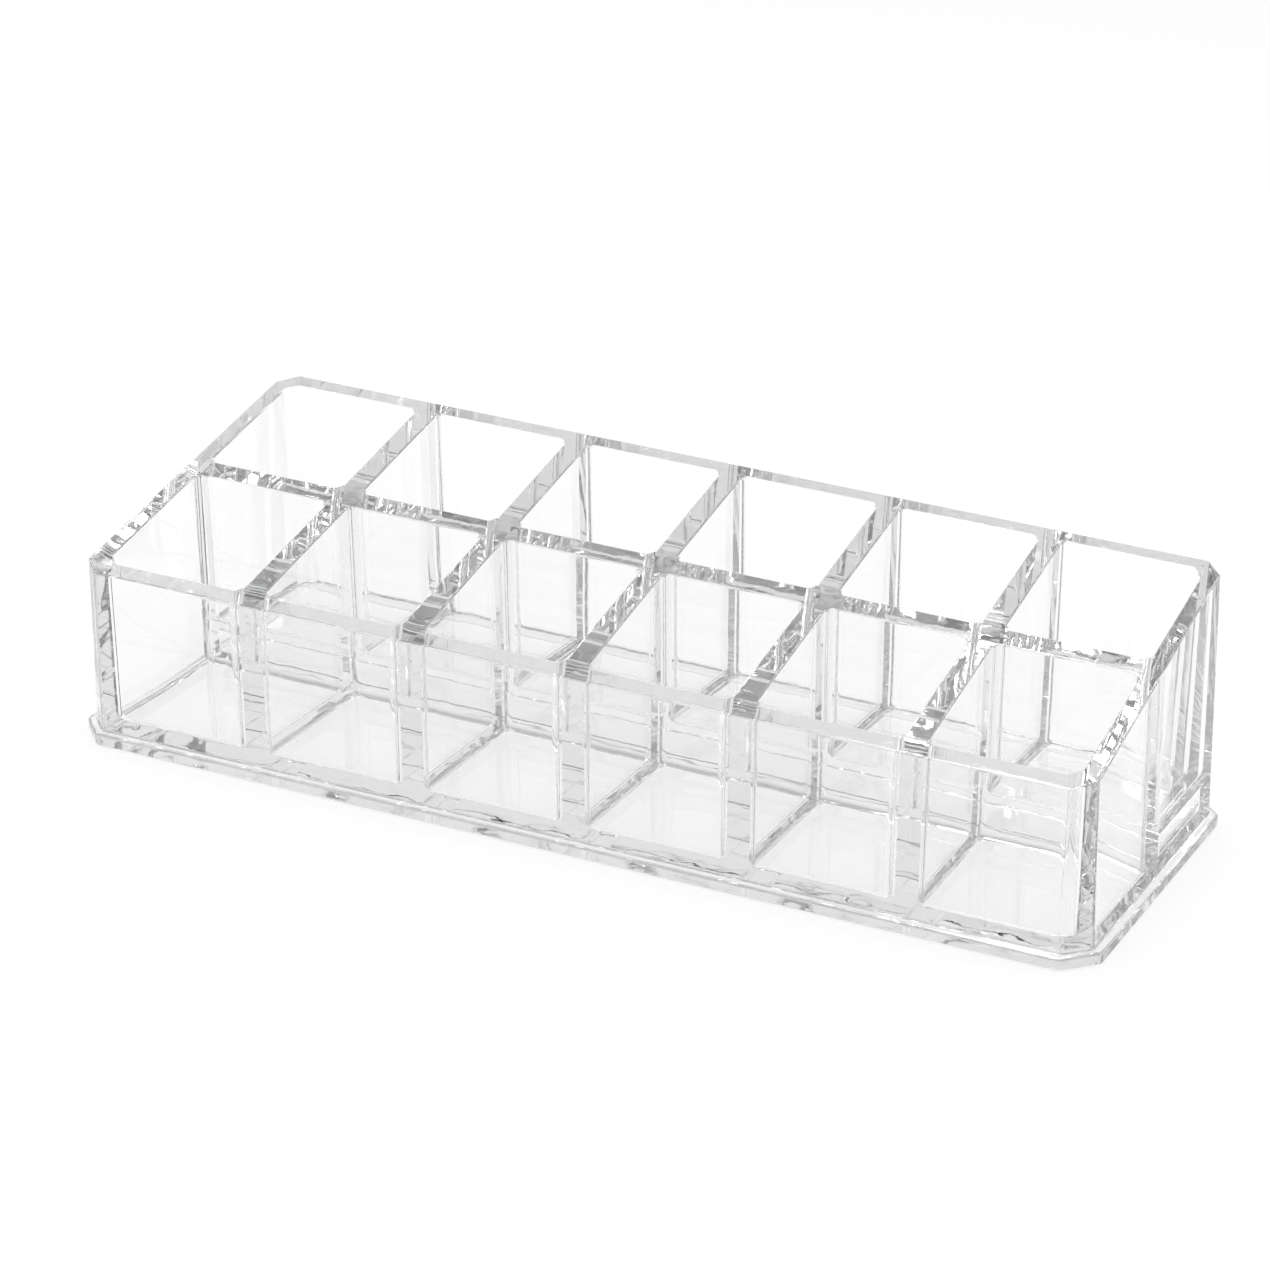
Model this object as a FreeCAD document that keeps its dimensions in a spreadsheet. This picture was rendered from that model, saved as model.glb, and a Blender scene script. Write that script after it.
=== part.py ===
"""Vanity organizer in clear plastic: two rows of open wells on a flanged base, lengths in millimetres.

Frame: the origin is on the table under the middle of the base, +X runs along the rows, +Y points to
the tall rear row and +Z points up.
"""
import FreeCAD
import Part
import Sketcher
import math
import os

# Driving dimensions: alias, value and meaning
SIZES = (
    ("wall_length", 225.0, "outside length of the wall ring at its foot"),
    ("wall_depth", 80.0, "outside depth of the wall ring at its foot"),
    ("wall_foot_thickness", 5.4, "wall ring thickness at the foot, which the draft thins upwards"),
    ("wall_draft_angle", 2.0, "lean of the ring's outer faces, in degrees"),
    ("wall_corner", 4.9, "leg of the cut corners outside the ring"),
    ("well_corner", 2.4, "leg of the cut corners inside the ring"),
    ("rear_height", 58.4, "rim height above the table at the rear"),
    ("front_height", 37.2, "rim height above the table at the front"),
    ("flange_thickness", 2.6, "thickness of the foot flange"),
    ("flange_overhang", 2.0, "flange width outside the ring"),
    ("flange_corner", 6.6, "leg of the flange's cut corners"),
    ("flange_edge", 0.6, "radius along the flange's upper edge"),
    ("floor_rise", 1.4, "front floor above the flange"),
    ("step_rise", 8.0, "rear floor above the front floor"),
    ("step_plate", 2.4, "thickness of the raised rear floor"),
    ("step_leg", 2.4, "thickness of the raised floor's two legs"),
    ("centre_wall_thickness", 5.0, "thickness of the wall between the rows"),
    ("centre_wall_setback", 0.8, "middle of that wall behind the middle of the ring"),
    ("divider_thickness", 5.0, "thickness of each cross divider"),
    ("rib_radius", 1.3, "hollow flank of the guide ribs"),
    ("rib_tip", 0.4, "thickness of a guide rib at its tip"),
    ("fit_clearance", 0.1, "play between pieces that slot together"),
    ("cut_overrun", 5.0, "how far cutting shapes reach past the solid"),
)
ROW_WELLS = 6
# Height of the halving joint, as a share of the centre wall's height
HALVING_SHARE = 0.5

# Lengths worked out from the driving dimensions, as expressions over the sheet
INNER_HALF_LENGTH = "(sizes.wall_length / 2 - sizes.wall_foot_thickness)"
INNER_HALF_DEPTH = "(sizes.wall_depth / 2 - sizes.wall_foot_thickness)"
LOOSE_HALF_LENGTH = f"({INNER_HALF_LENGTH} - sizes.fit_clearance)"
LOOSE_HALF_DEPTH = f"({INNER_HALF_DEPTH} - sizes.fit_clearance)"
FRONT_FLOOR = "(sizes.flange_thickness + sizes.floor_rise)"
REAR_FLOOR = f"({FRONT_FLOOR} + sizes.step_rise)"
CENTRE_FRONT_FACE = "(sizes.centre_wall_setback - sizes.centre_wall_thickness / 2)"
CENTRE_REAR_FACE = "(sizes.centre_wall_setback + sizes.centre_wall_thickness / 2)"
STEP_FRONT_FACE = f"({CENTRE_REAR_FACE} + sizes.fit_clearance)"
SLOT_HALF = "(sizes.divider_thickness / 2 + sizes.fit_clearance)"
CENTRE_SLOT_HALF = "(sizes.centre_wall_thickness / 2 + sizes.fit_clearance)"
WELL_PITCH = f"((2 * {INNER_HALF_LENGTH} + sizes.divider_thickness) / {ROW_WELLS})"
CROSS_WALLS = ROW_WELLS - 1
PITCH_COUNT = CROSS_WALLS - 1
FIRST_DIVIDER = f"(-{WELL_PITCH} * {PITCH_COUNT} / 2)"
RIB_ROOT = "(sizes.wall_foot_thickness / 4)"
CENTRE_RIB_ROOT = "(sizes.centre_wall_thickness / 4)"


def rim_height(depth):
    """Expression for the sloping rim's height at a given place along Y."""
    rise = "(sizes.rear_height - sizes.front_height)"
    return f"(sizes.front_height + {rise} * ({depth} + sizes.wall_depth / 2) / sizes.wall_depth)"


HALVING_HEIGHT = (
    f"({FRONT_FLOOR} + ({rim_height('sizes.centre_wall_setback')} - {FRONT_FLOOR}) * {HALVING_SHARE})"
)


def write_sheet(doc):
    """Puts the driving dimensions into the document's sheet, one aliased cell each."""
    sheet = doc.addObject("Spreadsheet::Sheet", "sizes")
    for row, (alias, value, meaning) in enumerate(SIZES, start=1):
        sheet.set(f"A{row}", meaning)
        sheet.set(f"B{row}", str(value))
        sheet.setAlias(f"B{row}", alias)
    doc.recompute()
    return sheet


def new_body(doc, node):
    """Starts the body of one piece, labelled with its node's name."""
    body = doc.addObject("PartDesign::Body", node)
    body.Label = node
    return body


def origin_feature(body, role):
    """The plane or axis of the body's own origin that plays the given role."""
    return next(feature for feature in body.Origin.OriginFeatures if feature.Role == role)


def new_sketch(body, name, plane, offset=None, turn=0):
    """A sketch on one of the body's origin planes, moved along its own axes and turned in its plane."""
    sketch = body.newObject("Sketcher::SketchObject", name)
    sketch.AttachmentSupport = (origin_feature(body, plane), [""])
    sketch.MapMode = "FlatFace"
    sketch.AttachmentOffset = FreeCAD.Placement(
        FreeCAD.Vector(), FreeCAD.Rotation(FreeCAD.Vector(0, 0, 1), turn)
    )
    for axis, expression in (offset or {}).items():
        sketch.setExpression(f"AttachmentOffset.Base.{axis}", expression)
    return sketch


def add_loop(sketch, corners, hollows=()):
    """Draws a closed loop through corners given as expressions and ties every corner to them.

    An edge whose number is in hollows rises as a quarter circle of the rib's radius, hollow towards the loop.
    """
    points = [FreeCAD.Vector(*map(sketch.evalExpression, corner), 0) for corner in corners]
    first = sketch.GeometryCount
    starts = []
    for number, start in enumerate(points):
        end = points[(number + 1) % len(points)]
        if number in hollows:
            rightward = start.x < end.x
            circle = Part.Circle(FreeCAD.Vector(start.x, end.y, 0), FreeCAD.Vector(0, 0, 1), end.y - start.y)
            lowest = 3 * math.pi / 2
            quarter = (lowest, 2 * math.pi) if rightward else (math.pi, lowest)
            edge = Part.ArcOfCircle(circle, *quarter)
            starts.append((1, 2) if rightward else (2, 1))
        else:
            edge = Part.LineSegment(start, end)
            starts.append((1, 2))
        sketch.addGeometry(edge)
    for number, (x_expression, y_expression) in enumerate(corners):
        here = first + number
        before = first + (number - 1) % len(corners)
        start_end = starts[number][0]
        sketch.addConstraint(
            Sketcher.Constraint("Coincident", before, starts[number - 1][1], here, start_end)
        )
        for kind, expression, place in (
            ("DistanceX", x_expression, points[number].x),
            ("DistanceY", y_expression, points[number].y),
        ):
            index = sketch.addConstraint(Sketcher.Constraint(kind, -1, 1, here, start_end, place))
            sketch.setExpression(f"Constraints[{index}]", expression)
    for number in hollows:
        index = sketch.addConstraint(
            Sketcher.Constraint("Radius", first + number, sketch.Geometry[first + number].Radius)
        )
        sketch.setExpression(f"Constraints[{index}]", "sizes.rib_radius")


def cut_corner_outline(half_length, half_depth, corner):
    """Corners of a rectangle about the origin with its four corners cut off at 45 degrees."""
    near_x = f"({half_length} - {corner})"
    near_y = f"({half_depth} - {corner})"
    return [
        (f"-{near_x}", f"-{half_depth}"),
        (near_x, f"-{half_depth}"),
        (half_length, f"-{near_y}"),
        (half_length, near_y),
        (near_x, half_depth),
        (f"-{near_x}", half_depth),
        (f"-{half_length}", near_y),
        (f"-{half_length}", f"-{near_y}"),
    ]


def pad(body, name, sketch, length, symmetric=False, taper=None):
    """Pads a sketch along its normal, or to both sides of its plane."""
    feature = body.newObject("PartDesign::Pad", name)
    feature.Profile = sketch
    feature.SideType = "Symmetric" if symmetric else "One side"
    feature.setExpression("Length", length)
    if taper:
        feature.setExpression("TaperAngle", taper)
    return feature


def pocket(body, name, sketch, length, symmetric=False):
    """Cuts a sketch along its normal, or to both sides of its plane."""
    feature = body.newObject("PartDesign::Pocket", name)
    feature.Profile = sketch
    feature.SideType = "Symmetric" if symmetric else "One side"
    feature.Reversed = not symmetric
    feature.setExpression("Length", length)
    return feature


def repeat_along_row(body, name, feature):
    """Repeats a feature at every cross divider's place."""
    pattern = body.newObject("PartDesign::LinearPattern", name)
    pattern.Originals = [feature]
    pattern.Direction = (origin_feature(body, "X_Axis"), [""])
    pattern.setExpression("Length", f"{WELL_PITCH} * {PITCH_COUNT}")
    pattern.Occurrences = CROSS_WALLS
    body.Tip = pattern
    return pattern


def add_ribs(body, name, place, turn, slot_half, root, flanks=("left", "right")):
    """Pads guide ribs with hollow flanks on a wall face, on one side of a slot or on both."""
    sketch = new_sketch(body, f"{name}_outline", "XY_Plane", place, turn)
    tip_edge = f"({slot_half} + sizes.rib_tip)"
    foot_edge = f"({tip_edge} + sizes.rib_radius)"
    flank_foot = (foot_edge, "0")
    right = [
        (slot_half, f"-{root}"),
        (foot_edge, f"-{root}"),
        flank_foot,
        (tip_edge, "sizes.rib_radius"),
        (slot_half, "sizes.rib_radius"),
    ]
    loops = {"right": right, "left": [(f"-{x}", y) for x, y in right]}
    for flank in flanks:
        add_loop(sketch, loops[flank], hollows=(right.index(flank_foot),))
    return pad(body, name, sketch, f"sizes.rear_height - {place['z']}")


def cut_rim_slope(body):
    """Cuts a body off along the rim, which falls from the rear to the front."""
    sketch = new_sketch(body, "rim_slope_outline", "YZ_Plane")
    reach = "(sizes.wall_depth / 2 + sizes.cut_overrun)"
    top = "(sizes.rear_height + sizes.cut_overrun * 2)"
    add_loop(sketch, [
        (f"-{reach}", rim_height(f"-{reach}")),
        (reach, rim_height(reach)),
        (reach, top),
        (f"-{reach}", top),
    ])
    return pocket(body, "rim_slope", sketch, "sizes.wall_length + 2 * sizes.cut_overrun", symmetric=True)


def make_base_plate(doc):
    """The foot: a flange with cut corners and softened upper edge, under the raised front floor."""
    body = new_body(doc, "base_plate")
    flange_outline = new_sketch(body, "flange_outline", "XY_Plane")
    add_loop(flange_outline, cut_corner_outline(
        "(sizes.wall_length / 2 + sizes.flange_overhang)",
        "(sizes.wall_depth / 2 + sizes.flange_overhang)",
        "sizes.flange_corner",
    ))
    flange = pad(body, "flange", flange_outline, "sizes.flange_thickness")
    doc.recompute()
    upper_face = max(flange.Shape.Faces, key=lambda face: face.CenterOfMass.z)
    upper_edges = [
        f"Edge{number}"
        for number, edge in enumerate(flange.Shape.Edges, start=1)
        if any(edge.isSame(other) for other in upper_face.Edges)
    ]
    softened = body.newObject("PartDesign::Fillet", "flange_edge_round")
    softened.Base = (flange, upper_edges)
    softened.setExpression("Radius", "sizes.flange_edge")
    floor_outline = new_sketch(body, "floor_outline", "XY_Plane")
    add_loop(floor_outline, cut_corner_outline(LOOSE_HALF_LENGTH, LOOSE_HALF_DEPTH, "sizes.well_corner"))
    pad(body, "front_floor", floor_outline, FRONT_FLOOR)
    return body


def make_wall_ring(doc):
    """The four outer walls, leaning in towards the sloping rim, with ribs for the inner walls' ends."""
    body = new_body(doc, "wall_ring")
    on_flange = {"z": "sizes.flange_thickness"}
    wall_rise = "(sizes.rear_height - sizes.flange_thickness)"
    outer_outline = new_sketch(body, "outer_outline", "XY_Plane", on_flange)
    add_loop(outer_outline, cut_corner_outline(
        "(sizes.wall_length / 2)", "(sizes.wall_depth / 2)", "sizes.wall_corner"
    ))
    pad(body, "outer_faces", outer_outline, wall_rise, taper="-sizes.wall_draft_angle")
    inner_outline = new_sketch(body, "inner_outline", "XY_Plane", on_flange)
    add_loop(inner_outline, cut_corner_outline(INNER_HALF_LENGTH, INNER_HALF_DEPTH, "sizes.well_corner"))
    pocket(body, "inner_faces", inner_outline, f"{wall_rise} + sizes.cut_overrun")
    front_place = {"x": FIRST_DIVIDER, "y": f"-{INNER_HALF_DEPTH}", "z": FRONT_FLOOR}
    front_ribs = add_ribs(body, "front_ribs", front_place, 0, SLOT_HALF, RIB_ROOT)
    repeat_along_row(body, "front_rib_row", front_ribs)
    rear_place = {"x": FIRST_DIVIDER, "y": INNER_HALF_DEPTH, "z": REAR_FLOOR}
    rear_ribs = add_ribs(body, "rear_ribs", rear_place, 180, SLOT_HALF, RIB_ROOT)
    repeat_along_row(body, "rear_rib_row", rear_ribs)
    for side, sign, turn, front_flank, rear_flank in (
        ("left", "-", -90, "right", "left"),
        ("right", "", 90, "left", "right"),
    ):
        for row, floor, flank in (("front", FRONT_FLOOR, front_flank), ("rear", REAR_FLOOR, rear_flank)):
            place = {"x": f"{sign}{INNER_HALF_LENGTH}", "y": "sizes.centre_wall_setback", "z": floor}
            add_ribs(body, f"{side}_{row}_rib", place, turn, CENTRE_SLOT_HALF, RIB_ROOT, (flank,))
    cut_rim_slope(body)
    return body


def make_centre_wall(doc):
    """The long wall between the rows, ribbed at every crossing and slotted from above."""
    body = new_body(doc, "centre_wall")
    section = new_sketch(body, "section_outline", "YZ_Plane")
    add_loop(section, [
        (CENTRE_FRONT_FACE, FRONT_FLOOR),
        (CENTRE_REAR_FACE, FRONT_FLOOR),
        (CENTRE_REAR_FACE, "sizes.rear_height"),
        (CENTRE_FRONT_FACE, "sizes.rear_height"),
    ])
    pad(body, "wall", section, f"2 * {LOOSE_HALF_LENGTH}", symmetric=True)
    front_place = {"x": FIRST_DIVIDER, "y": CENTRE_FRONT_FACE, "z": FRONT_FLOOR}
    front_ribs = add_ribs(body, "front_ribs", front_place, 180, SLOT_HALF, CENTRE_RIB_ROOT)
    repeat_along_row(body, "front_rib_row", front_ribs)
    rear_place = {"x": FIRST_DIVIDER, "y": CENTRE_REAR_FACE, "z": REAR_FLOOR}
    rear_ribs = add_ribs(body, "rear_ribs", rear_place, 0, SLOT_HALF, CENTRE_RIB_ROOT)
    repeat_along_row(body, "rear_rib_row", rear_ribs)
    cut_rim_slope(body)
    slot_outline = new_sketch(body, "slot_outline", "XZ_Plane", {"x": FIRST_DIVIDER})
    slot_top = "(sizes.rear_height + sizes.cut_overrun)"
    add_loop(slot_outline, [
        (f"-{SLOT_HALF}", HALVING_HEIGHT),
        (SLOT_HALF, HALVING_HEIGHT),
        (SLOT_HALF, slot_top),
        (f"-{SLOT_HALF}", slot_top),
    ])
    slot = pocket(body, "slot", slot_outline, "sizes.wall_depth", symmetric=True)
    repeat_along_row(body, "slot_row", slot)
    return body


def make_rear_step(doc):
    """The rear wells' raised floor: a plate on two legs, fitted between centre wall and rear wall."""
    body = new_body(doc, "rear_step")
    plan_outline = new_sketch(body, "plan_outline", "XY_Plane", {"z": FRONT_FLOOR})
    near_x = f"({LOOSE_HALF_LENGTH} - sizes.well_corner)"
    near_y = f"({LOOSE_HALF_DEPTH} - sizes.well_corner)"
    add_loop(plan_outline, [
        (f"-{LOOSE_HALF_LENGTH}", STEP_FRONT_FACE),
        (LOOSE_HALF_LENGTH, STEP_FRONT_FACE),
        (LOOSE_HALF_LENGTH, near_y),
        (near_x, LOOSE_HALF_DEPTH),
        (f"-{near_x}", LOOSE_HALF_DEPTH),
        (f"-{LOOSE_HALF_LENGTH}", near_y),
    ])
    pad(body, "block", plan_outline, "sizes.step_rise")
    channel_outline = new_sketch(body, "channel_outline", "YZ_Plane")
    channel_front = f"({STEP_FRONT_FACE} + sizes.step_leg)"
    channel_rear = f"({LOOSE_HALF_DEPTH} - sizes.step_leg)"
    channel_top = f"({REAR_FLOOR} - sizes.step_plate)"
    add_loop(channel_outline, [
        (channel_front, f"({FRONT_FLOOR} - sizes.cut_overrun)"),
        (channel_rear, f"({FRONT_FLOOR} - sizes.cut_overrun)"),
        (channel_rear, channel_top),
        (channel_front, channel_top),
    ])
    pocket(body, "channel", channel_outline, "sizes.wall_length", symmetric=True)
    return body


def make_divider(doc, number):
    """One cross divider, slotted from below over the centre wall and stepped over the raised floor."""
    body = new_body(doc, f"divider_{number}")
    section = new_sketch(body, "section_outline", "YZ_Plane")
    slot_front = f"({CENTRE_FRONT_FACE} - sizes.fit_clearance)"
    add_loop(section, [
        (f"-{LOOSE_HALF_DEPTH}", FRONT_FLOOR),
        (slot_front, FRONT_FLOOR),
        (slot_front, HALVING_HEIGHT),
        (STEP_FRONT_FACE, HALVING_HEIGHT),
        (STEP_FRONT_FACE, REAR_FLOOR),
        (LOOSE_HALF_DEPTH, REAR_FLOOR),
        (LOOSE_HALF_DEPTH, rim_height(LOOSE_HALF_DEPTH)),
        (f"-{LOOSE_HALF_DEPTH}", rim_height(f"-{LOOSE_HALF_DEPTH}")),
    ])
    pad(body, "wall", section, "sizes.divider_thickness", symmetric=True)
    body.setExpression("Placement.Base.x", f"{FIRST_DIVIDER} + {WELL_PITCH} * {number - 1}")
    return body


def check_document(doc, bodies):
    """Stops if any object failed to compute, or a piece isn't one sound solid."""
    for item in doc.Objects:
        if {"Invalid", "Error"} & set(item.State):
            raise RuntimeError(f"{item.Label} failed: {item.State}")
    for body in bodies:
        shape = body.Shape
        if shape.isNull() or not shape.isValid() or len(shape.Solids) != 1:
            raise RuntimeError(f"{body.Label} isn't one valid solid")


def main():
    """Builds every piece and writes each one to its own file."""
    doc = FreeCAD.newDocument("vanity_organizer")
    write_sheet(doc)
    bodies = [make_base_plate(doc), make_wall_ring(doc), make_centre_wall(doc), make_rear_step(doc)]
    bodies += [make_divider(doc, number) for number in range(1, CROSS_WALLS + 1)]
    doc.recompute()
    check_document(doc, bodies)
    os.makedirs("parts", exist_ok=True)
    for body in bodies:
        body.Shape.exportStep(f"parts/{body.Label}.step")
        print(f"{body.Label}: {body.Shape.Volume:.1f} mm3")


main()
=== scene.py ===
"""Clear plastic vanity organizer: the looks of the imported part, in metres and in the part's own frame.

The organizer's pieces are bonded, and light crosses a clear bond as if it weren't there. So their outer
faces are drawn as one closed skin: the foot flange, the outer walls up to the sloping rim, the twelve wells
between the dividers, and the hollow under the raised rear floor.
"""

import logging
import math
from collections.abc import Iterable, Mapping, Sequence
from dataclasses import dataclass, field
from enum import Enum

import bmesh
import bpy
from bmesh.types import BMVert
from mathutils import Matrix, Vector
from mathutils.geometry import tessellate_polygon


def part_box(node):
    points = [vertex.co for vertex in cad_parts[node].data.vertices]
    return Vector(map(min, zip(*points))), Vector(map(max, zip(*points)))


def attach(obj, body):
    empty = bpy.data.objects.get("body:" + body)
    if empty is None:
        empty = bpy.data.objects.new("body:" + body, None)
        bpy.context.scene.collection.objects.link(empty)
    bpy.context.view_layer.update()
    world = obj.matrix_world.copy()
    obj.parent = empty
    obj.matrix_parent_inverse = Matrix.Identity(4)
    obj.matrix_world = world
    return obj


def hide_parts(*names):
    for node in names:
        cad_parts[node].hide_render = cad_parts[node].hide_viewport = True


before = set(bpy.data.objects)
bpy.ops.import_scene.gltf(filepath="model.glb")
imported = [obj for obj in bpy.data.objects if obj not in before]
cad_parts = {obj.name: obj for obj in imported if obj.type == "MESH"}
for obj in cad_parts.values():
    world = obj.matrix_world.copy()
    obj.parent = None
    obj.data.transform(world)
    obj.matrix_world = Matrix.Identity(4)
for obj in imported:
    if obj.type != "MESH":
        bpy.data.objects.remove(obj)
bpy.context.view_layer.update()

LOG = logging.getLogger("vanity_organizer")
DIVIDERS = ("divider_1", "divider_2", "divider_3", "divider_4", "divider_5")
NODES = ("base_plate", "wall_ring", "centre_wall", "rear_step", *DIVIDERS)
PHOTO_SIDE = 1270
SHARP_EDGE = math.radians(50)
LIGHT_BOUNCES = 64

Colour = tuple[float, float, float, float]
Place = tuple[float, float, float]
Point = tuple[float, float]
Outline = list[Point]
Ring = list[BMVert]


class Corner(Enum):
    """How a well's corner is formed, seen from above."""

    CUT = "the outer walls' corner, cut off at 45 degrees"
    ROW_RIB = "a guide rib on the row's long wall, with its tip at the divider"
    END_RIB = "a guide rib on the end wall, with its tip at the centre wall"


def offset(outline: Sequence[Point], distance: float) -> Outline:
    """Moves the edges of an anticlockwise outline sideways.

    Args:
        outline: corners of the closed outline.
        distance: how far the edges move, outward if positive.

    Returns:
        As many corners, where the moved edges meet.
    """
    normals = []
    for (x0, y0), (x1, y1) in zip(outline, [*outline[1:], outline[0]]):
        length = math.hypot(x1 - x0, y1 - y0)
        normals.append(((y1 - y0) / length, (x0 - x1) / length))
    moved = []
    for number, (x, y) in enumerate(outline):
        (ax, ay), (bx, by) = normals[number - 1], normals[number]
        reach = distance / (1 + ax * bx + ay * by)
        moved.append((x + (ax + bx) * reach, y + (ay + by) * reach))
    return moved


def arc(centre: Point, radius: float, start: float, stop: float, steps: int) -> Outline:
    """Points along an arc.

    Args:
        centre: the arc's centre.
        radius: the arc's radius.
        start: angle of the first point, in degrees.
        stop: angle of the last point, in degrees.
        steps: number of chords.

    Returns:
        One point more than there are chords.
    """
    angles = (math.radians(start + (stop - start) * step / steps) for step in range(steps + 1))
    return [(centre[0] + radius * math.cos(a), centre[1] + radius * math.sin(a)) for a in angles]


def cut_rectangle(half_length: float, half_depth: float, leg: float, soften: float) -> Outline:
    """A rectangle about the origin with cut corners, whose upright edges are a little rounded.

    Args:
        half_length: half the extent along X.
        half_depth: half the extent along Y.
        leg: leg of the cut corners.
        soften: how far from each edge the rounding starts.

    Returns:
        The anticlockwise outline, with three points at every corner.
    """
    near_x, near_y = half_length - leg, half_depth - leg
    corners = [
        Vector((-near_x, -half_depth)),
        Vector((near_x, -half_depth)),
        Vector((half_length, -near_y)),
        Vector((half_length, near_y)),
        Vector((near_x, half_depth)),
        Vector((-near_x, half_depth)),
        Vector((-half_length, near_y)),
        Vector((-half_length, -near_y)),
    ]
    outline = []
    for number, corner in enumerate(corners):
        before = corner + (corners[number - 1] - corner).normalized() * soften
        after = corner + (corners[(number + 1) % len(corners)] - corner).normalized() * soften
        middle = (before + after + corner * 2) / 4
        outline += [tuple(before), tuple(middle), tuple(after)]
    return outline


@dataclass(frozen=True)
class Rim:
    """The plane of the rim, which falls from the tall rear wall to the low front wall."""

    front_y: float
    rear_y: float
    front_height: float = 0.0372
    rear_height: float = 0.0584

    def height(self, y: float) -> float:
        """Height of the rim at a place along Y."""
        share = (y - self.front_y) / (self.rear_y - self.front_y)
        return self.front_height + (self.rear_height - self.front_height) * share


class Skin:
    """The closed surface of the clear body while it is being drawn."""

    def __init__(self) -> None:
        """Starts with an empty mesh."""
        self.mesh = bmesh.new()

    def ring(self, corners: Iterable[Sequence[float]]) -> Ring:
        """Adds a closed ring of corners in space."""
        return [self.mesh.verts.new(corner) for corner in corners]

    def band(self, lower: Ring, upper: Ring) -> None:
        """Joins two rings of as many corners by a band of four-sided faces."""
        for number in range(len(lower)):
            self.mesh.faces.new((lower[number - 1], lower[number], upper[number], upper[number - 1]))

    def stack(self, rings: Sequence[Ring]) -> None:
        """Joins several rings, each to the next."""
        for lower, upper in zip(rings, rings[1:]):
            self.band(lower, upper)

    def cap(self, ring: Ring) -> None:
        """Closes a ring with one flat face."""
        self.mesh.faces.new(ring)

    def sheet(self, edge: Ring, holes: Sequence[Ring]) -> None:
        """Fills a flat area.

        Args:
            edge: the ring around the area.
            holes: the rings around the holes in it.
        """
        rings = [edge, *holes]
        corners = [corner for ring in rings for corner in ring]
        for triangle in tessellate_polygon([[corner.co for corner in ring] for ring in rings]):
            self.mesh.faces.new([corners[number] for number in triangle])

    def face_outward(self) -> None:
        """Turns every face away from the plastic drawn so far."""
        bmesh.ops.recalc_face_normals(self.mesh, faces=self.mesh.faces)

    def to_object(self, name: str) -> bpy.types.Object:
        """Makes the finished surface an object of the scene.

        Args:
            name: the object's name.

        Returns:
            The linked object, which keeps flat faces flat between its rounded edges.
        """
        data = bpy.data.meshes.new(name)
        self.mesh.to_mesh(data)
        self.mesh.free()
        data.shade_smooth()
        data.set_sharp_from_angle(angle=SHARP_EDGE)
        made = bpy.data.objects.new(name, data)
        bpy.context.scene.collection.objects.link(made)
        weighted = made.modifiers.new("flat_faces_stay_flat", "WEIGHTED_NORMAL")
        weighted.keep_sharp = True
        return made


@dataclass
class Flange:
    """The foot: a thin plate with cut corners that stands out all round the walls."""

    half_length: float
    half_depth: float
    thickness: float
    corner_leg: float = 0.0066
    upper_round: float = 0.0006
    under_round: float = 0.0003
    corner_soften: float = 0.0009
    steps: int = 3

    def build(self, skin: Skin) -> Ring:
        """Draws the underside and the rounded edge.

        Args:
            skin: the surface to draw on.

        Returns:
            The ring at the inner end of the edge's rounding, on the upper face.
        """
        outline = cut_rectangle(self.half_length, self.half_depth, self.corner_leg, self.corner_soften)
        profile = [
            (self.under_round - x, self.under_round + y)
            for x, y in arc((0.0, 0.0), self.under_round, -90, 0, self.steps)
        ]
        profile += [
            (self.upper_round - x, self.thickness - self.upper_round + y)
            for x, y in arc((0.0, 0.0), self.upper_round, 0, 90, self.steps)
        ]
        rings = [
            skin.ring((x, y, height) for x, y in offset(outline, -inset)) for inset, height in profile
        ]
        skin.cap(rings[0])
        skin.stack(rings)
        return rings[-1]


@dataclass
class OuterWalls:
    """The four outer walls, which lean in from their foot to the sloping rim."""

    half_length: float
    half_depth: float
    foot: float
    draft: float = math.radians(2.0)
    corner_leg: float = 0.0049
    corner_soften: float = 0.0007
    foot_round: float = 0.0004
    lip_round: float = 0.0004
    steps: int = 3
    settling_passes: int = 4

    def inset(self, height: float) -> float:
        """How far the outer faces lean in at a height."""
        return (height - self.foot) * math.tan(self.draft)

    def rim_point(self, outline: Outline, number: int, rim: Rim, extra: float, drop: float) -> Vector:
        """Where an upright line of the wall ends at the rim.

        Args:
            outline: the wall's outline at its foot.
            number: which corner of the outline the line starts from.
            rim: the plane of the rim.
            extra: inset on top of the lean, on the way over the lip.
            drop: how far below the rim the point lies.

        Returns:
            The point in space.
        """
        height = rim.height(outline[number][1]) - drop
        for _ in range(self.settling_passes):
            x, y = offset(outline, -self.inset(height) - extra)[number]
            height = rim.height(y) - drop
        return Vector((x, y, height))

    def build(self, skin: Skin, rim: Rim) -> tuple[Ring, Ring]:
        """Draws the outer faces and the lip's outer rounding.

        Args:
            skin: the surface to draw on.
            rim: the plane of the rim.

        Returns:
            The ring where the foot's rounding meets the flange, and the lip's ring on the rim.
        """
        outline = cut_rectangle(self.half_length, self.half_depth, self.corner_leg, self.corner_soften)
        rings = []
        for x, y in arc((0.0, 0.0), self.foot_round, 0, 90, self.steps)[::-1]:
            height = self.foot + self.foot_round - y
            out = self.foot_round - x - self.inset(height)
            rings.append(skin.ring((*point, height) for point in offset(outline, out)))
        for x, y in arc((0.0, 0.0), self.lip_round, 0, 90, self.steps):
            rings.append(skin.ring(
                self.rim_point(outline, number, rim, self.lip_round - x, self.lip_round - y)
                for number in range(len(outline))
            ))
        skin.stack(rings)
        return rings[0], rings[-1]


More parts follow.
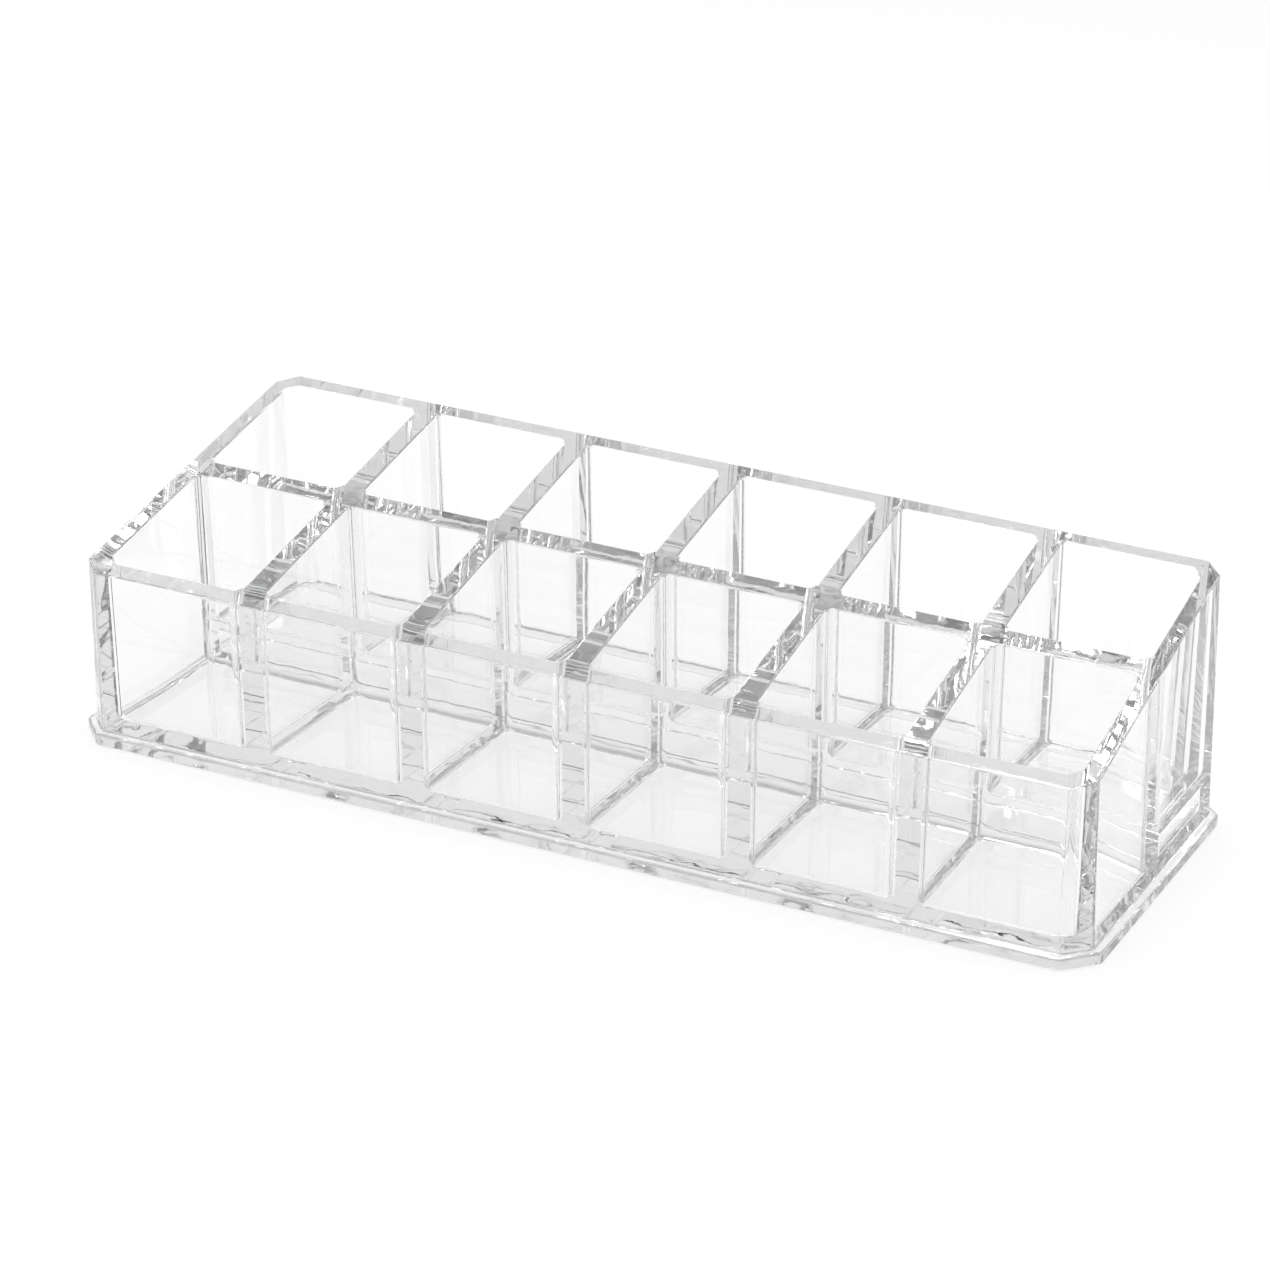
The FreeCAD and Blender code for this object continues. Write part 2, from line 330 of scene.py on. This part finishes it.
@dataclass
class Well:
    """One open well: a flat floor, upright walls with ribbed corners, and a softened lip."""

    left: float
    right: float
    front: float
    rear: float
    floor: float
    front_left: Corner
    front_right: Corner
    rear_right: Corner
    rear_left: Corner
    cut_leg: float = 0.0024
    rib_radius: float = 0.0013
    rib_tip: float = 0.0005
    rib_steps: int = 8
    floor_round: float = 0.0012
    lip_round: float = 0.0004
    round_steps: int = 4

    def corner(self, form: Corner) -> Outline:
        """One corner in its own coordinates.

        Args:
            form: how the corner is formed.

        Returns:
            Points from the row's long wall to the well's side, each as its distance from that side and
            from that wall.
        """
        if form is Corner.CUT:
            return [(self.cut_leg, 0.0), (0.0, self.cut_leg)]
        foot = self.rib_tip + self.rib_radius
        hollow = arc((foot, self.rib_radius), self.rib_radius, 270, 180, self.rib_steps)
        rib = [*hollow, (0.0, self.rib_radius)]
        if form is Corner.ROW_RIB:
            return rib
        return [(y, x) for x, y in reversed(rib)]

    def outline(self) -> Outline:
        """The well seen from above.

        Returns:
            The anticlockwise outline, from the front wall's right end.
        """
        return [
            *((self.right - u, self.front + v) for u, v in self.corner(self.front_right)),
            *((self.right - u, self.rear - v) for u, v in reversed(self.corner(self.rear_right))),
            *((self.left + u, self.rear - v) for u, v in self.corner(self.rear_left)),
            *((self.left + u, self.front + v) for u, v in reversed(self.corner(self.front_left))),
        ]

    def build(self, skin: Skin, rim: Rim) -> Ring:
        """Draws the floor, the walls and the lip.

        Args:
            skin: the surface to draw on.
            rim: the plane of the rim.

        Returns:
            The lip's ring on the rim.
        """
        outline = self.outline()
        rings = []
        for x, y in arc((0.0, 0.0), self.floor_round, 270, 360, self.round_steps):
            inner = offset(outline, x - self.floor_round)
            rings.append(skin.ring((*point, self.floor + self.floor_round + y) for point in inner))
        for x, y in arc((0.0, 0.0), self.lip_round, 0, 90, self.round_steps):
            wider = offset(outline, self.lip_round - x)
            rings.append(skin.ring((*point, rim.height(point[1]) - self.lip_round + y) for point in wider))
        skin.cap(rings[0])
        skin.stack(rings)
        return rings[-1]


@dataclass
class StepHollow:
    """The closed hollow under the raised rear floor, between its two legs."""

    low: Vector
    high: Vector
    edge_round: float = 0.0005
    edge_soften: float = 0.000125

    def build(self, skin: Skin) -> None:
        """Draws the hollow with its faces turned into it, after the outside is finished.

        Args:
            skin: the surface to draw on.
        """
        half_length = (self.high.x - self.low.x) / 2
        half_depth = (self.high.y - self.low.y) / 2
        middle = (self.low.y + self.high.y) / 2
        outline = cut_rectangle(half_length, half_depth, self.edge_round, self.edge_soften)
        inner = offset(outline, -self.edge_round)
        rings = [
            skin.ring((x, y + middle, height) for x, y in points)
            for points, height in (
                (inner, self.low.z),
                (outline, self.low.z + self.edge_round),
                (outline, self.high.z - self.edge_round),
                (inner, self.high.z),
            )
        ]
        before = set(skin.mesh.faces)
        skin.cap(rings[0])
        skin.stack(rings)
        skin.cap(rings[-1])
        made = [face for face in skin.mesh.faces if face not in before]
        bmesh.ops.recalc_face_normals(skin.mesh, faces=made)
        bmesh.ops.reverse_faces(skin.mesh, faces=made)


class Signal:
    """A shader socket that can stand in a Python sum: every operator adds a Math node."""

    def __init__(self, graph: "Graph", socket: bpy.types.NodeSocket | None) -> None:
        """Wraps a socket of a graph, or nothing for a node that ends it."""
        self.graph = graph
        self.socket = socket

    def math(self, operation: str, *values: "Signal | float") -> "Signal":
        """Adds a Math node on these values."""
        return self.graph.node("ShaderNodeMath", {"operation": operation}, dict(enumerate(values)))

    def __add__(self, other: "Signal | float") -> "Signal":
        """This plus another."""
        return self.math("ADD", self, other)

    def __sub__(self, other: "Signal | float") -> "Signal":
        """This less another."""
        return self.math("SUBTRACT", self, other)

    def __rsub__(self, other: "Signal | float") -> "Signal":
        """Another less this."""
        return self.math("SUBTRACT", other, self)

    def __mul__(self, other: "Signal | float") -> "Signal":
        """This times another."""
        return self.math("MULTIPLY", self, other)

    __radd__ = __add__
    __rmul__ = __mul__

    def __abs__(self) -> "Signal":
        """The size of this, without its sign."""
        return self.math("ABSOLUTE", self)

    def most(self, other: "Signal | float") -> "Signal":
        """The greater of this and another."""
        return self.math("MAXIMUM", self, other)

    def step(self, low: float, high: float) -> "Signal":
        """A soft step from 0 at the low value to 1 at the high one."""
        return self.graph.node(
            "ShaderNodeMapRange",
            {"interpolation_type": "SMOOTHSTEP"},
            {"Value": self, "From Min": low, "From Max": high},
        )


class Graph:
    """A node tree that is built by calls."""

    def __init__(self, tree: bpy.types.NodeTree) -> None:
        """Takes over a tree and clears it."""
        self.tree = tree
        tree.nodes.clear()

    def node(
        self,
        kind: str,
        settings: Mapping[str, object] | None = None,
        inputs: Mapping[str | int, object] | None = None,
        output: str | int = 0,
    ) -> Signal:
        """Adds one node.

        Args:
            kind: the node's type.
            settings: properties of the node, set first.
            inputs: values or signals for its sockets, by name or number.
            output: which output is wanted.

        Returns:
            That output, as a signal, which is empty for a node without outputs.
        """
        made = self.tree.nodes.new(kind)
        for name, value in (settings or {}).items():
            setattr(made, name, value)
        for name, value in (inputs or {}).items():
            if isinstance(value, Signal):
                self.tree.links.new(value.socket, made.inputs[name])
            else:
                made.inputs[name].default_value = value
        return Signal(self, made.outputs[output] if made.outputs else None)


@dataclass(frozen=True)
class ClearPlastic:
    """Clear moulded styrene: glossy, faintly wavy, a little hazy where hands and contents touch it."""

    refraction: float = 1.52
    tint: Colour = (0.998, 0.999, 0.999, 1.0)
    depth_tint: Colour = (0.40, 0.41, 0.41, 1.0)
    depth_density: float = 5.2
    gloss: float = 0.012
    haze: float = 0.045
    wall_wave: float = 0.00006
    floor_wave: float = 0.00014
    waves_per_metre: float = 75.0
    wave_detail: float = 1.5
    peel: float = 0.0000012
    peels_per_metre: float = 900.0
    peel_detail: float = 1.0
    level_edge: Point = (0.6, 0.9)
    handling_per_metre: float = 38.0
    handling_detail: float = 4.0
    handling_edge: Point = (0.52, 0.74)
    handling_share: float = 0.4
    scuffs_per_metre: Place = (60.0, 900.0, 300.0)
    scuff_detail: float = 2.0
    scuff_edge: Point = (0.64, 0.70)
    scuff_share: float = 0.6

    def material(self) -> bpy.types.Material:
        """Makes the finish's material.

        Returns:
            The material, wavy all over, hazier where it is handled and scuffed on its level faces.
        """
        made = bpy.data.materials.new("clear_plastic")
        made.use_nodes = True
        graph = Graph(made.node_tree)
        place = graph.node("ShaderNodeTexCoord", output="Object")
        facing = graph.node("ShaderNodeNewGeometry", output="Normal")
        rise = abs(graph.node("ShaderNodeSeparateXYZ", inputs={0: facing}, output="Z"))
        level = rise.step(*self.level_edge)
        wave = self.noise(graph, place, self.waves_per_metre, self.wave_detail)
        peel = self.noise(graph, place, self.peels_per_metre, self.peel_detail)
        swell = wave * (self.wall_wave + (self.floor_wave - self.wall_wave) * level)
        surface = graph.node(
            "ShaderNodeBump",
            inputs={"Strength": 1.0, "Distance": 1.0, "Height": swell + self.peel * peel},
        )
        handled = self.noise(graph, place, self.handling_per_metre, self.handling_detail)
        streaks = graph.node(
            "ShaderNodeVectorMath", {"operation": "MULTIPLY"}, {0: place, 1: self.scuffs_per_metre}
        )
        scuffed = self.noise(graph, streaks, 1.0, self.scuff_detail).step(*self.scuff_edge) * level
        used = self.handling_share * handled.step(*self.handling_edge) + self.scuff_share * scuffed
        shader = graph.node(
            "ShaderNodeBsdfPrincipled",
            inputs={
                "Base Color": self.tint,
                "Roughness": self.gloss + self.haze * used,
                "IOR": self.refraction,
                "Transmission Weight": 1.0,
                "Normal": surface,
            },
        )
        depth = graph.node(
            "ShaderNodeVolumeAbsorption",
            inputs={"Color": self.depth_tint, "Density": self.depth_density},
        )
        graph.node("ShaderNodeOutputMaterial", inputs={"Surface": shader, "Volume": depth})
        return made

    @staticmethod
    def noise(graph: Graph, place: Signal, scale: float, detail: float) -> Signal:
        """Soft noise around one half, at a scale per metre."""
        return graph.node("ShaderNodeTexNoise", inputs={"Vector": place, "Scale": scale, "Detail": detail})


@dataclass(frozen=True)
class PaleFloor:
    """The plain white ground, which glows a little for the eye and still takes the object's shadow."""

    paint: Colour = (0.92, 0.92, 0.92, 1.0)
    white: Colour = (1.0, 1.0, 1.0, 1.0)
    glow_share: float = 0.82

    def material(self) -> bpy.types.Material:
        """Makes the floor's material.

        Returns:
            The material, which mixes the glow in for what is seen directly or through the plastic.
        """
        made = bpy.data.materials.new("pale_floor")
        made.use_nodes = True
        graph = Graph(made.node_tree)
        seen = graph.node("ShaderNodeLightPath", output="Is Camera Ray")
        for kind in ("Is Glossy Ray", "Is Transmission Ray"):
            seen = seen.most(graph.node("ShaderNodeLightPath", output=kind))
        paint = graph.node("ShaderNodeBsdfDiffuse", inputs={"Color": self.paint})
        glow = graph.node("ShaderNodeEmission", inputs={"Color": self.white, "Strength": 1.0})
        shown = graph.node("ShaderNodeMixShader", inputs={0: self.glow_share * seen, 1: paint, 2: glow})
        graph.node("ShaderNodeOutputMaterial", inputs={"Surface": shown})
        return made


@dataclass
class Organizer:
    """The whole organizer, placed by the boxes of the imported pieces."""

    finish: ClearPlastic = field(default_factory=ClearPlastic)
    wall_thickness: float = 0.0054
    rib_depth: float = 0.0013
    step_leg: float = 0.0024
    step_plate: float = 0.0024

    def __post_init__(self) -> None:
        """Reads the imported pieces' boxes."""
        self.plate_low, self.plate_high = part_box("base_plate")
        self.ring_low, self.ring_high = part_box("wall_ring")
        self.centre_low, self.centre_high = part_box("centre_wall")
        self.step_low, self.step_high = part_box("rear_step")
        self.rim = Rim(self.ring_low.y, self.ring_high.y)

    def columns(self) -> list[tuple[float, float]]:
        """The columns of wells, from left to right.

        Returns:
            Where each column's left and right inner faces are along X.
        """
        faces = [self.ring_low.x + self.wall_thickness]
        for name in DIVIDERS:
            low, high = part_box(name)
            faces += [low.x, high.x]
        faces.append(self.ring_high.x - self.wall_thickness)
        return list(zip(faces[::2], faces[1::2]))

    def wells(self) -> list[Well]:
        """The wells, from left to right.

        Returns:
            The front row's wells and then the rear row's.
        """
        front_wall, rear_wall = self.ring_low.y + self.wall_thickness, self.ring_high.y - self.wall_thickness
        centre_front, centre_rear = self.centre_low.y + self.rib_depth, self.centre_high.y - self.rib_depth
        rows = (
            (front_wall, centre_front, self.plate_high.z, Corner.CUT, Corner.END_RIB),
            (centre_rear, rear_wall, self.step_high.z, Corner.END_RIB, Corner.CUT),
        )
        columns = self.columns()
        found = []
        for front, rear, floor, front_end, rear_end in rows:
            for number, (left, right) in enumerate(columns):
                first, last = number == 0, number == len(columns) - 1
                found.append(Well(
                    left, right, front, rear, floor,
                    front_left=front_end if first else Corner.ROW_RIB,
                    front_right=front_end if last else Corner.ROW_RIB,
                    rear_right=rear_end if last else Corner.ROW_RIB,
                    rear_left=rear_end if first else Corner.ROW_RIB,
                ))
        return found

    def build(self) -> bpy.types.Object:
        """Draws the skin and dresses it.

        Returns:
            The finished piece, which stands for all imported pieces.
        """
        skin = Skin()
        flange = Flange(self.plate_high.x, self.plate_high.y, self.ring_low.z)
        walls = OuterWalls(self.ring_high.x, self.ring_high.y, self.ring_low.z)
        flange_ring = flange.build(skin)
        foot_ring, rim_ring = walls.build(skin, self.rim)
        skin.band(flange_ring, foot_ring)
        lips = [well.build(skin, self.rim) for well in self.wells()]
        skin.sheet(rim_ring, lips)
        skin.face_outward()
        wall, leg = self.wall_thickness, self.step_leg
        hollow = StepHollow(
            Vector((self.ring_low.x + wall, self.step_low.y + leg, self.step_low.z)),
            Vector((self.ring_high.x - wall, self.step_high.y - leg, self.step_high.z - self.step_plate)),
        )
        hollow.build(skin)
        body = skin.to_object("clear_body")
        body.data.materials.append(self.finish.material())
        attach(body, "root")
        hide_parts(*NODES)
        return body


@dataclass
class Studio:
    """White ground, a soft lamp, and a white surround that is grey overhead and darker behind the viewer."""

    white: Colour = (1.0, 1.0, 1.0, 1.0)
    floor_half: float = 6.0
    floor_drop: float = 0.0002
    lamp_height: float = 1.2
    lamp_side: float = 0.8
    lamp_watts: float = 12.0
    zenith: float = 0.55
    white_to: float = 0.45
    grey_from: float = 0.85
    room: float = 0.30
    room_heading: Place = (0.46, -0.89, 0.0)
    room_from: float = 0.10
    room_to: float = 0.70

    def build(self) -> None:
        """Adds the ground, the lamp and the surround."""
        self.lay_floor()
        self.hang_lamp()
        self.light_surround()

    def lay_floor(self) -> None:
        """Lays the ground a hair below the foot, so that the two faces don't coincide."""
        half = self.floor_half
        data = bpy.data.meshes.new("floor")
        corners = [(-half, -half, 0), (half, -half, 0), (half, half, 0), (-half, half, 0)]
        data.from_pydata(corners, [], [(0, 1, 2, 3)])
        data.materials.append(PaleFloor().material())
        floor = bpy.data.objects.new("floor", data)
        floor.location.z = -self.floor_drop
        bpy.context.scene.collection.objects.link(floor)

    def hang_lamp(self) -> None:
        """Hangs a broad square lamp over the middle."""
        data = bpy.data.lights.new("soft_lamp", "AREA")
        data.shape = "SQUARE"
        data.size = self.lamp_side
        data.energy = self.lamp_watts
        lamp = bpy.data.objects.new("soft_lamp", data)
        lamp.location.z = self.lamp_height
        bpy.context.scene.collection.objects.link(lamp)

    def light_surround(self) -> None:
        """Makes the world white around the horizon, grey overhead and darker on the viewer's side."""
        world = bpy.data.worlds.new("surround")
        world.use_nodes = True
        graph = Graph(world.node_tree)
        heading = graph.node("ShaderNodeTexCoord", output="Generated")
        rise = graph.node("ShaderNodeSeparateXYZ", inputs={0: heading}, output="Z")
        sky = 1.0 - (1.0 - self.zenith) * rise.step(self.white_to, self.grey_from)
        towards_room = graph.node(
            "ShaderNodeVectorMath",
            {"operation": "DOT_PRODUCT"},
            {0: heading, 1: self.room_heading},
            output="Value",
        )
        strength = sky * (1.0 - (1.0 - self.room) * towards_room.step(self.room_from, self.room_to))
        light = graph.node("ShaderNodeBackground", inputs={"Color": self.white, "Strength": strength})
        graph.node("ShaderNodeOutputWorld", inputs={"Surface": light})
        bpy.context.scene.world = world


@dataclass(frozen=True)
class PhotoCamera:
    """The photograph's viewpoint, found by matching the corners of the rim, walls and flange.

    The photograph's picture plane isn't square to the line of sight, as in a part cut from one side of a
    wider picture. So the camera hangs on a mount that slants its axes.
    """

    heading: float = math.radians(-14.702)
    elevation: float = math.radians(28.774)
    roll: float = math.radians(6.009)
    eye: Place = (0.29653, -0.57245, 0.30408)
    aim: Place = (-0.00497, 0.0, 0.03137)
    focal_pixels: float = 3365.22
    sensor: float = 36.0
    near_limit: float = 0.01

    def build(self) -> bpy.types.Object:
        """Adds the camera and makes it the scene's own.

        Returns:
            The camera, on its mount.
        """
        facing = Vector((
            math.sin(self.heading) * math.cos(self.elevation),
            math.cos(self.heading) * math.cos(self.elevation),
            -math.sin(self.elevation),
        ))
        level = Vector((math.cos(self.heading), -math.sin(self.heading), 0.0))
        upward = level.cross(facing)
        right = level * math.cos(self.roll) + upward * math.sin(self.roll)
        up = upward * math.cos(self.roll) - level * math.sin(self.roll)
        sight = (Vector(self.aim) - Vector(self.eye)).normalized()
        data = bpy.data.cameras.new("photo_camera")
        data.sensor_width = self.sensor
        data.lens = self.focal_pixels / PHOTO_SIDE * self.sensor
        data.clip_start = self.near_limit
        camera = bpy.data.objects.new("photo_camera", data)
        mount = bpy.data.objects.new("camera_mount", None)
        for made in (mount, camera):
            bpy.context.scene.collection.objects.link(made)
        camera.parent = mount
        slant = Matrix((right, up, -sight)).transposed().to_4x4()
        camera.matrix_parent_inverse = Matrix.Translation(self.eye) @ slant
        bpy.context.scene.camera = camera
        return camera


def set_light_paths() -> None:
    """Lets light bounce often enough to find its way out of the clear walls."""
    scene = bpy.context.scene
    scene.view_settings.view_transform = "Standard"
    scene.cycles.max_bounces = LIGHT_BOUNCES
    scene.cycles.transmission_bounces = LIGHT_BOUNCES
    scene.cycles.glossy_bounces = LIGHT_BOUNCES


def main() -> None:
    """Builds the organizer and its studio, and reports each piece."""
    logging.basicConfig(level=logging.INFO, format="%(name)s: %(message)s")
    body = Organizer().build()
    LOG.info("%s: %d faces, stands for %d packed pieces", body.name, len(body.data.polygons), len(NODES))
    Studio().build()
    LOG.info("studio: floor, lamp and surround")
    camera = PhotoCamera().build()
    LOG.info("%s: lens of %.0f mm", camera.name, camera.data.lens)
    set_light_paths()


if __name__ == "__main__":
    main()
